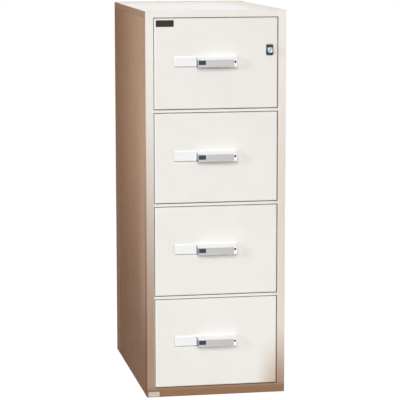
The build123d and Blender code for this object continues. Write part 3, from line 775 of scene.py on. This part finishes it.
@dataclass
class DrawerSkin(Assembly):
    """Pressed fronts of the drawers, with rolled edges.

    The edge's radius is that of the edges rolled back round the front, and the corner's that of all others.
    """

    sheet: float = 1.5
    edge_radius: float = 6.0
    edge_steps: int = 6
    corner_radius: float = 0.7
    corner_angle: float = 35.0
    lock_hole: float = 11.6

    def build(self) -> None:
        """Model the top drawer's front, copy it to the others, and pierce it for the lock."""
        low, high = cad_box("drawer_1_front_shell")
        first = block("drawer_front_1", low, high)
        with editing(first):
            select_edges(first, lambda a, b: a.y < low.y + NEAR and b.y < low.y + NEAR)
            bpy.ops.mesh.bevel(offset=self.edge_radius * MM, segments=self.edge_steps, affect="EDGES")
        with editing(first):
            select_faces(first, lambda middle, normal: normal.y > FACING)
            bpy.ops.mesh.inset(thickness=self.sheet * MM)
            bpy.ops.mesh.extrude_region_move(
                TRANSFORM_OT_translate={"value": (0, -(high.y - low.y - self.edge_radius) * MM, 0)},
            )
        skins = [first]
        for number in DRAWERS[1:]:
            rise = cad_box(f"drawer_{number}_front_shell")[0].z - low.z
            skins.append(copy_at(first, f"drawer_front_{number}", Vector((0, 0, rise))))
        lock_low, lock_high = cad_box("lock_plunger")
        lock = (lock_low + lock_high) / 2
        hole = rod("lock_hole", Vector((lock.x, low.y - OVERRUN, lock.z)), self.lock_hole, high.y - low.y)
        combine(first, hole, "DIFFERENCE")
        for number, skin in zip(DRAWERS, skins):
            soften(skin, self.corner_radius, corner=self.corner_angle)
            self.hand_over(skin, f"drawer_{number}", "drawer_paint", f"drawer_{number}_front_shell")


@dataclass
class Pull(Assembly):
    """Cast hooded pulls, each in one piece with its card holder, and what is set in them.

    The hood's top is a level ledge, and then falls by the brow's drop to the face. The lip is the facet under
    the face, and the end's bevel the facet right of it. The draft is how far the hood's ends draw in, the
    boss its solid right end, and the crown how proud the card's middle is.
    """

    wall: float = 3.0
    holder_length: float = 78.0
    holder_thickness: float = 4.5
    holder_rim: float = 1.5
    holder_corner: float = 2.0
    corner_steps: int = 3
    card_recess: float = 1.0
    card_margin: float = 2.0
    card_crown: float = 0.25
    card_edge: float = 0.15
    top_ledge: float = 5.0
    brow_drop: float = 10.8
    lip_rise: float = 2.5
    lip_depth: float = 3.0
    draft: float = 3.0
    end_bevel: float = 13.0
    end_bevel_depth: float = 8.0
    boss: float = 16.5
    button_clearance: float = 0.3
    button_depth: float = 19.0
    screw_inset: float = 9.5
    screw_hole: float = 2.8
    screw_seat: float = 4.3
    screw_seat_depth: float = 9.0
    edge: float = 0.6
    cheek_shade: float = 0.85

    def hood(self, name: str, low: Vector, high: Vector, wall: float) -> Piece:
        """Model the faceted block of the hood, or of the hollow inside it.

        Args:
            name: Name of the object.
            low: Lowest corner of the whole pull.
            high: Highest corner.
            wall: How far the block's faces lie inside the hood's outside.

        Returns:
            The faceted block.
        """
        foot = low.x + self.holder_length
        hood = block(name, Vector((foot, low.y, low.z)), high)
        slope = Vector((0, high.y - self.top_ledge - low.y, self.brow_drop))
        cuts = (
            (Vector((0, high.y - self.top_ledge, high.z)), Vector((0, -slope.z, slope.y))),
            (Vector((0, low.y, low.z + self.lip_rise)), Vector((0, -self.lip_rise, -self.lip_depth))),
            (Vector((foot, high.y, 0)), Vector((low.y - high.y, -self.draft, 0))),
            (Vector((high.x, high.y, 0)), Vector((high.y - low.y - self.end_bevel_depth, -self.draft, 0))),
            (
                Vector((high.x - self.draft, low.y + self.end_bevel_depth, 0)),
                Vector((self.end_bevel_depth, -self.end_bevel, 0)),
            ),
        )
        for point, outward in cuts:
            slice_off(hood, point - outward.normalized() * wall, outward)
        return hood

    def casting(self, low: Vector, high: Vector, button: tuple[Vector, Vector]) -> Piece:
        """Model the whole casting of the top drawer.

        Args:
            low: Lowest corner of the pull.
            high: Highest corner.
            button: Lowest and highest corners of the thumb button's face.

        Returns:
            The casting.
        """
        casting = self.hood("pull", low, high, 0)
        centre = (low.z + high.z) / 2
        foot = low.x + self.holder_length
        holder_face = high.y - self.holder_thickness
        hollow = self.hood("hollow", low, high, self.wall)
        slice_off(hollow, Vector((0, 0, high.z - self.wall)), Vector((0, 0, 1)))
        slice_off(hollow, Vector((0, low.y + self.wall, 0)), Vector((0, -1, 0)))
        slice_off(hollow, Vector((high.x - self.boss, 0, 0)), Vector((1, 0, 0)))
        with editing(hollow):
            select_faces(hollow, lambda middle, normal: normal.z < -LEANING)
            bpy.ops.transform.translate(value=(0, 0, -2 * self.wall * MM))
        combine(casting, hollow, "DIFFERENCE")
        holder = block(
            "holder", Vector((low.x, holder_face, low.z)), Vector((foot + OVERRUN, high.y, high.z)),
        )
        with editing(holder):
            select_edges(holder, lambda a, b: runs_deep(a, b) and a.x < low.x + NEAR)
            bpy.ops.mesh.bevel(
                offset=self.holder_corner * MM, segments=self.corner_steps, affect="EDGES",
            )
        with editing(holder):
            bpy.ops.mesh.select_all(action="SELECT")
            bpy.ops.mesh.bisect(plane_co=(0, 0, (low.z + self.holder_rim) * MM), plane_no=(0, 0, 1))
        combine(casting, holder, "UNION")
        rim = self.holder_rim
        pocket = block(
            "pocket",
            Vector((low.x + rim, holder_face - OVERRUN, low.z + rim)),
            Vector((foot - rim, holder_face + self.card_recess, high.z - rim)),
        )
        combine(casting, pocket, "DIFFERENCE")
        gap = Vector((self.button_clearance, 0, self.button_clearance))
        window = block("window", button[0] - gap, button[1] + gap + Vector((0, self.button_depth, 0)))
        combine(casting, window, "DIFFERENCE")
        start = Vector((high.x - self.screw_inset, low.y - OVERRUN, centre))
        through, seat = high.y + OVERRUN, low.y + self.screw_seat_depth
        for radius, end in ((self.screw_hole, through), (self.screw_seat, seat)):
            hole = rod("hole", start, radius, end - start.y, SMALL_ROUND)
            combine(casting, hole, "DIFFERENCE")
        soften(casting, self.edge)

        def share(middle: Vector, normal: Vector) -> float:
            """Paint shade on the holder's lower rim and outer end, and less of it on the hood's cheek.

            Args:
                middle: A face's middle, in millimetres.
                normal: The face's normal.

            Returns:
                Its share of the shade.
            """
            if middle.x < foot - NEAR:
                lower_rim = middle.z < low.z + rim and middle.y < holder_face + NEAR
                return float(lower_rim or middle.x < low.x + NEAR and normal.x < -LEANING)
            return self.cheek_shade if normal.x < -FACING and middle.x < foot + 2 * self.draft else 0.0

        mark_shaded(casting, share)
        return casting

    def build(self) -> None:
        """Model the pull of the top drawer, and copy it to the others."""
        low, high = cad_box("drawer_1_pull")
        button_low, button_high = cad_box("drawer_1_thumb_button")
        face = (
            Vector((button_low.x, low.y - OVERRUN, button_low.z)),
            Vector((button_high.x, low.y, button_high.z)),
        )
        first = self.casting(low, high, face)
        card = self.card(*cad_box("drawer_1_card"))
        button = ThumbButton(self.palette).model(button_low, button_high)
        screws = PullScrews(self.palette).model(high.y - self.holder_thickness + self.card_recess)
        for number in DRAWERS:
            drawer = f"drawer_{number}"
            offset = Vector((0, 0, cad_box(f"{drawer}_pull")[0].z - low.z))
            for piece, label, body, slot in (
                (first, "pull", drawer, "pull_metal"),
                (card, "card", drawer, "card"),
                (button, "thumb_button", f"thumb_button_{number}", "button_plastic"),
                (screws, "pull_screws", drawer, "screw_steel"),
            ):
                mine = copy_at(piece, f"{label}_{number}", offset)
                self.hand_over(mine, body, slot, f"{drawer}_{label}")
        for piece in (first, card, button, screws):
            bpy.data.objects.remove(piece)

    def card(self, low: Vector, high: Vector) -> Piece:
        """Model the card, its middle a little proud of its edges.

        Args:
            low: Lowest corner.
            high: Highest corner.

        Returns:
            The card.
        """
        card = block("card", low, high)
        with editing(card):
            select_faces(card, faces_front)
            bpy.ops.mesh.inset(thickness=self.card_margin * MM)
            bpy.ops.transform.translate(value=(0, -self.card_crown * MM, 0))
        soften(card, self.card_edge)
        return card


@dataclass
class ThumbButton(Assembly):
    """Moulded thumb button with upright ribs, and its stem.

    The length is that behind the ribs, and the margin how far the ribs end from the button's edge.
    """

    length: float = 13.0
    rib_height: float = 0.8
    rib_count: int = 5
    rib_width: float = 2.4
    rib_margin: float = 1.2
    stem_radius: float = 3.0
    edge: float = 0.3

    def model(self, low: Vector, high: Vector) -> Piece:
        """Model the button of the top drawer.

        Args:
            low: Lowest corner of the button with its stem.
            high: Highest corner.

        Returns:
            The button.
        """
        front = low.y + self.rib_height
        body = block("button", Vector((low.x, front, low.z)), Vector((high.x, front + self.length, high.z)))
        pitch = (high.x - low.x) / self.rib_count
        centres = [low.x + pitch * (step + 0.5) for step in range(self.rib_count)]
        for centre in centres:
            for edge in (centre - self.rib_width / 2, centre + self.rib_width / 2):
                with editing(body):
                    bpy.ops.mesh.select_all(action="SELECT")
                    bpy.ops.mesh.bisect(plane_co=(edge * MM, 0, 0), plane_no=(1, 0, 0))
        foot, top = low.z + self.rib_margin, high.z - self.rib_margin
        for height in (foot, top):
            with editing(body):
                bpy.ops.mesh.select_all(action="SELECT")
                bpy.ops.mesh.bisect(plane_co=(0, 0, height * MM), plane_no=(0, 0, 1))

        def on_rib(middle: Vector, normal: Vector) -> bool:
            """Tell whether a front face lies on a rib."""
            near = any(abs(middle.x - centre) < self.rib_width / 2 for centre in centres)
            return faces_front(middle, normal) and near and foot < middle.z < top

        with editing(body):
            select_faces(body, on_rib)
            bpy.ops.mesh.extrude_region_move(TRANSFORM_OT_translate={"value": (0, -self.rib_height * MM, 0)})
        axis = (low + high) / 2
        back = front + self.length - OVERRUN
        stem = rod("stem", Vector((axis.x, back, axis.z)), self.stem_radius, high.y - back, THIN_ROUND)
        combine(body, stem, "UNION")
        soften(body, self.edge)
        return body


@dataclass
class PullScrews(Assembly):
    """Pan-head screws that hold a pull, with cross recesses.

    The root is how far a shank reaches into its head.
    """

    head_radius: float = 4.2
    head_height: float = 2.5
    head_edge: float = 1.0
    head_steps: int = 3
    shank_radius: float = 2.5
    root: float = 0.5
    recess_width: float = 0.9
    recess_length: float = 4.6
    recess_depth: float = 1.4
    smooth_angle: float = 35.0

    def screw(self, seat: float, x: float, z: float, end: float) -> Piece:
        """Model one screw.

        Args:
            seat: Depth of the underside of its head.
            x: Place across.
            z: Height.
            end: Depth of its tip.

        Returns:
            The screw.
        """
        top = seat - self.head_height
        screw = rod("screw", Vector((x, top, z)), self.head_radius, self.head_height, SMALL_ROUND)
        with editing(screw):
            select_faces(screw, faces_front)
            bpy.ops.mesh.region_to_loop()
            bpy.ops.mesh.bevel(offset=self.head_edge * MM, segments=self.head_steps, affect="EDGES")
        for wide, tall in ((self.recess_length, self.recess_width), (self.recess_width, self.recess_length)):
            slot = block(
                "slot",
                Vector((x - wide / 2, top - OVERRUN, z - tall / 2)),
                Vector((x + wide / 2, top + self.recess_depth, z + tall / 2)),
            )
            combine(screw, slot, "DIFFERENCE")
        start = Vector((x, seat - self.root, z))
        shank = rod("shank", start, self.shank_radius, end - seat + self.root, THIN_ROUND)
        combine(screw, shank, "UNION")
        return screw

    def model(self, pocket: float) -> Piece:
        """Model the two screws of the top drawer's pull.

        Args:
            pocket: Depth of the floor of the card's pocket, which the left screw's head is sunk in.

        Returns:
            Both screws in one piece.
        """
        low, high = cad_box("drawer_1_pull_screws")
        z = (low.z + high.z) / 2
        right = self.screw(low.y + self.head_height, high.x - self.head_radius, z, high.y)
        left = self.screw(pocket + self.head_height, low.x + self.head_radius, z, high.y)
        take(right)
        left.select_set(True)
        bpy.ops.object.join()
        bpy.ops.object.shade_smooth_by_angle(angle=radians(self.smooth_angle))
        return right


@dataclass
class PushLock(Assembly):
    """Push lock on the top drawer: black plate, bright plunger and keyed plug.

    The plate's rim is the strip along its edges that the rounding of its bore keeps clear of. The sleeve is
    the tube behind it, and the seat the hole in the plunger that the plug turns in.
    """

    plate_thickness: float = 4.0
    plate_radius: float = 4.0
    radius_steps: int = 6
    plate_rim: float = 1.2
    plate_edge: float = 0.7
    plate_edge_steps: int = 3
    sleeve_radius: float = 11.4
    bore_depth: float = 58.0
    running_gap: float = 0.05
    plunger_edge: float = 1.2
    plunger_edge_steps: int = 4
    seat_depth: float = 20.0
    plug_edge: float = 0.25
    keyway_width: float = 1.8
    keyway_height: float = 8.0
    keyway_depth: float = 14.0

    def build(self) -> None:
        """Model the plate, the plunger and the plug."""
        low, high = cad_box("lock_housing")
        plunger_low, plunger_high = cad_box("lock_plunger")
        plug_low, plug_high = cad_box("lock_plug")
        centre = (plug_low + plug_high) / 2
        radius = (plunger_high.x - plunger_low.x) / 2
        plug_radius = (plug_high.x - plug_low.x) / 2
        face = low.y + self.plate_thickness
        plate = block("lock_plate", low, Vector((high.x, face, high.z)))
        with editing(plate):
            select_edges(plate, runs_deep)
            bpy.ops.mesh.bevel(offset=self.plate_radius * MM, segments=self.radius_steps, affect="EDGES")
        with editing(plate):
            select_faces(plate, faces_front)
            bpy.ops.mesh.inset(thickness=self.plate_rim * MM)

        def bar(name: str, start: float, end: float, size: float) -> Piece:
            """Add a bar on the lock's axis, from one depth to another."""
            return rod(name, Vector((centre.x, start, centre.z)), size, end - start)

        combine(plate, bar("sleeve", face - OVERRUN, high.y, self.sleeve_radius), "UNION")
        bore = bar("bore", low.y - OVERRUN, low.y + self.bore_depth, radius + self.running_gap)
        combine(plate, bore, "DIFFERENCE")
        soften(plate, self.plate_edge, self.plate_edge_steps)
        self.hand_over(plate, "drawer_1", "lock_plate", "lock_housing")
        plunger = bar("lock_plunger_turned", plunger_low.y, plunger_high.y, radius)
        front, back = plunger_low.y - OVERRUN, plunger_low.y + self.seat_depth
        combine(plunger, bar("seat", front, back, plug_radius + self.running_gap), "DIFFERENCE")
        soften(plunger, self.plunger_edge, self.plunger_edge_steps)
        self.hand_over(plunger, "lock_plunger", "lock_chrome", "lock_plunger")
        plug = bar("lock_plug_turned", plug_low.y, plug_high.y, plug_radius)
        half = Vector((self.keyway_width / 2, 0, self.keyway_height / 2))
        keyway = block(
            "keyway",
            Vector((centre.x, plug_low.y - OVERRUN, centre.z)) - half,
            Vector((centre.x, plug_low.y + self.keyway_depth, centre.z)) + half,
        )
        combine(plug, keyway, "DIFFERENCE")
        soften(plug, self.plug_edge)
        self.hand_over(plug, "lock_plug", "lock_chrome", "lock_plug")


@dataclass
class SmallPlate(Assembly):
    """Thin bare plate with rounded corners and a raised rim.

    It stands for one CAD node, and rides on that node's body.
    """

    node: str = "name_plate"
    name: str = "plate"
    body: str = "drawer_1"
    slot: str = "name_plate"
    corner_radius: float = 1.5
    corner_steps: int = 4
    rim: float = 1.1
    rim_height: float = 0.3
    edge: float = 0.1

    def build(self) -> None:
        """Model the plate over its CAD node."""
        low, high = cad_box(self.node)
        plate = block(self.name, low, high)
        with editing(plate):
            select_edges(plate, runs_deep)
            bpy.ops.mesh.bevel(offset=self.corner_radius * MM, segments=self.corner_steps, affect="EDGES")
        with editing(plate):
            select_faces(plate, faces_front)
            bpy.ops.mesh.inset(thickness=self.rim * MM)
            bpy.ops.mesh.extrude_region_move(TRANSFORM_OT_translate={"value": (0, self.rim_height * MM, 0)})
        soften(plate, self.edge)
        self.hand_over(plate, self.body, self.slot, self.node)


# Studio


@dataclass
class SoftBox:
    """Soft square lamp.

    Attributes:
        name: Name of the lamp.
        at: Place, in metres.
        towards: Point it faces, in metres.
        side: Width, in metres.
        power: Power, in watts.
        colour: Colour of its light.
    """

    name: str
    at: tuple[float, float, float]
    towards: tuple[float, float, float]
    side: float
    power: float
    colour: str = WHITE

    def build(self) -> None:
        """Add the lamp."""
        lamp = bpy.data.lights.new(self.name, "AREA")
        lamp.size = self.side
        lamp.energy = self.power
        lamp.color = linear(self.colour)[:3]
        holder = bpy.data.objects.new(self.name, lamp)
        holder.location = self.at
        holder.rotation_euler = (Vector(self.towards) - Vector(self.at)).to_track_quat("-Z", "Y").to_euler()
        bpy.context.scene.collection.objects.link(holder)


@dataclass
class Studio:
    """Camera, lamps, floor and white surroundings.

    Attributes:
        camera_at: Place of the camera, in metres.
        yaw: Its turn to the right, in degrees.
        pitch: Its tilt downwards, in degrees.
        roll: Its lean, in degrees.
        sensor: Width of its sensor, in millimetres.
        lens: Its focal length, in millimetres.
        ambient: Strength of the light from all round.
        ambient_colour: Colour of that light.
        floor_size: Width of the floor, in metres.
        floor_drop: How far it lies under the cabinet, in metres.
        floor_colour: Colour of its paper.
        floor_shadow: Share of its look that takes shadow.
        floor_glow: Brightness of the rest.
        lamps: The lamps.
    """

    camera_at: tuple[float, float, float] = (-1.221, -6.743, 1.673)
    yaw: float = 10.35
    pitch: float = 8.49
    roll: float = -0.063
    sensor: float = 36.0
    lens: float = 167.04
    ambient: float = 0.26
    ambient_colour: str = "#ffce9e"
    floor_size: float = 8.0
    floor_drop: float = 0.0005
    floor_colour: str = "#ecebe9"
    floor_shadow: float = 0.2
    floor_glow: float = 1.18
    lamps: tuple[SoftBox, ...] = field(default_factory=lambda: (
        SoftBox("key", (-4.8, -17.6, 8.6), (0.0, -0.4, 0.7), 10.0, 2880.0, "#e5effa"),
        SoftBox("side", (-7.14, -3.38, 2.8), (0.0, -0.4, 0.5), 1.4, 207.0, "#c9ecff"),
        SoftBox("top", (0.2, 1.2, 3.9), (0.0, 0.0, 1.3), 1.6, 25.0),
        SoftBox("back", (5.0, 4.5, 3.0), (0.0, 0.0, 0.7), 3.0, 410.0, "#cce9ff"),
    ))

    def build(self) -> None:
        """Set up the studio."""
        self.place_camera()
        self.light_world()
        for lamp in self.lamps:
            lamp.build()
        self.lay_floor()
        bpy.context.scene.view_settings.view_transform = "Standard"

    def place_camera(self) -> None:
        """Stand the camera where the photograph was taken from."""
        camera = bpy.data.cameras.new("camera")
        camera.sensor_width = self.sensor
        camera.lens = self.lens
        holder = bpy.data.objects.new("camera", camera)
        turn = (
            Matrix.Rotation(radians(-self.yaw), 4, "Z")
            @ Matrix.Rotation(radians(90 - self.pitch), 4, "X")
            @ Matrix.Rotation(radians(self.roll), 4, "Z")
        )
        holder.matrix_world = Matrix.Translation(self.camera_at) @ turn
        bpy.context.scene.collection.objects.link(holder)
        bpy.context.scene.camera = holder

    @staticmethod
    def seen(tree: Tree) -> Socket:
        """Tell the rays that make the picture, straight or off a mirror, from those that light the cabinet.

        Args:
            tree: Node tree of the world or of a material.

        Returns:
            Socket with 1 for a ray that makes the picture.
        """
        rays = add_node(tree, "LightPath")
        seen = rays.outputs["Is Camera Ray"]
        for other in ("Is Glossy Ray", "Is Transmission Ray"):
            seen = add_node(
                tree, "Math", {}, {0: seen, 1: rays.outputs[other]}, operation="MAXIMUM",
            ).outputs[0]
        return seen

    def light_world(self) -> None:
        """Surround the cabinet with soft light that looks white to the camera."""
        world = bpy.data.worlds.new("studio")
        bpy.context.scene.world = world
        world.use_nodes = True
        tree = world.node_tree
        tree.nodes.clear()
        ambient = {"Color": linear(self.ambient_colour), "Strength": self.ambient}
        soft = add_node(tree, "Background", ambient)
        white = add_node(tree, "Background", {"Color": linear(WHITE), "Strength": 1.0})
        both = add_node(
            tree, "MixShader", {},
            {0: self.seen(tree), 1: soft.outputs["Background"], 2: white.outputs["Background"]},
        )
        add_node(tree, "OutputWorld", {}, {"Surface": both.outputs["Shader"]})

    def lay_floor(self) -> None:
        """Lay a plain pale floor that keeps the cabinet's shadow."""
        deselect()
        bpy.ops.mesh.primitive_plane_add(size=self.floor_size, location=(0, 0, -self.floor_drop))
        floor = settle(bpy.context.object, "floor")
        material = bpy.data.materials.new("white paper backdrop, rolled out")
        material.use_nodes = True
        tree = material.node_tree
        tree.nodes.remove(tree.nodes["Principled BSDF"])
        paper = add_node(tree, "BsdfDiffuse", {"Color": linear(self.floor_colour)})
        glow = add_node(tree, "Emission", {"Color": linear(WHITE), "Strength": self.floor_glow})
        share = add_node(
            tree, "Math", {1: 1 - self.floor_shadow}, {0: self.seen(tree)}, operation="MULTIPLY",
        ).outputs[0]
        mixed = add_node(
            tree, "MixShader", {},
            {0: share, 1: paper.outputs["BSDF"], 2: glow.outputs["Emission"]},
        )
        tree.links.new(mixed.outputs["Shader"], tree.nodes["Material Output"].inputs["Surface"])
        floor.data.materials.append(material)


def main() -> None:
    """Build the cabinet's looks and its studio."""
    logging.basicConfig(level=logging.INFO, format="%(name)s: %(message)s")
    deselect()
    palette = Palette()
    Carcass(palette).build()
    DrawerSkin(palette).build()
    Pull(palette).build()
    PushLock(palette).build()
    SmallPlate(palette, name="name_plate_bare").build()
    SmallPlate(
        palette, node="rating_plate", name="rating_plate_bare", body="cabinet", slot="plate_aluminium",
        rim=0.8, rim_height=0.2,
    ).build()
    Studio().build()


if __name__ == "__main__":
    main()
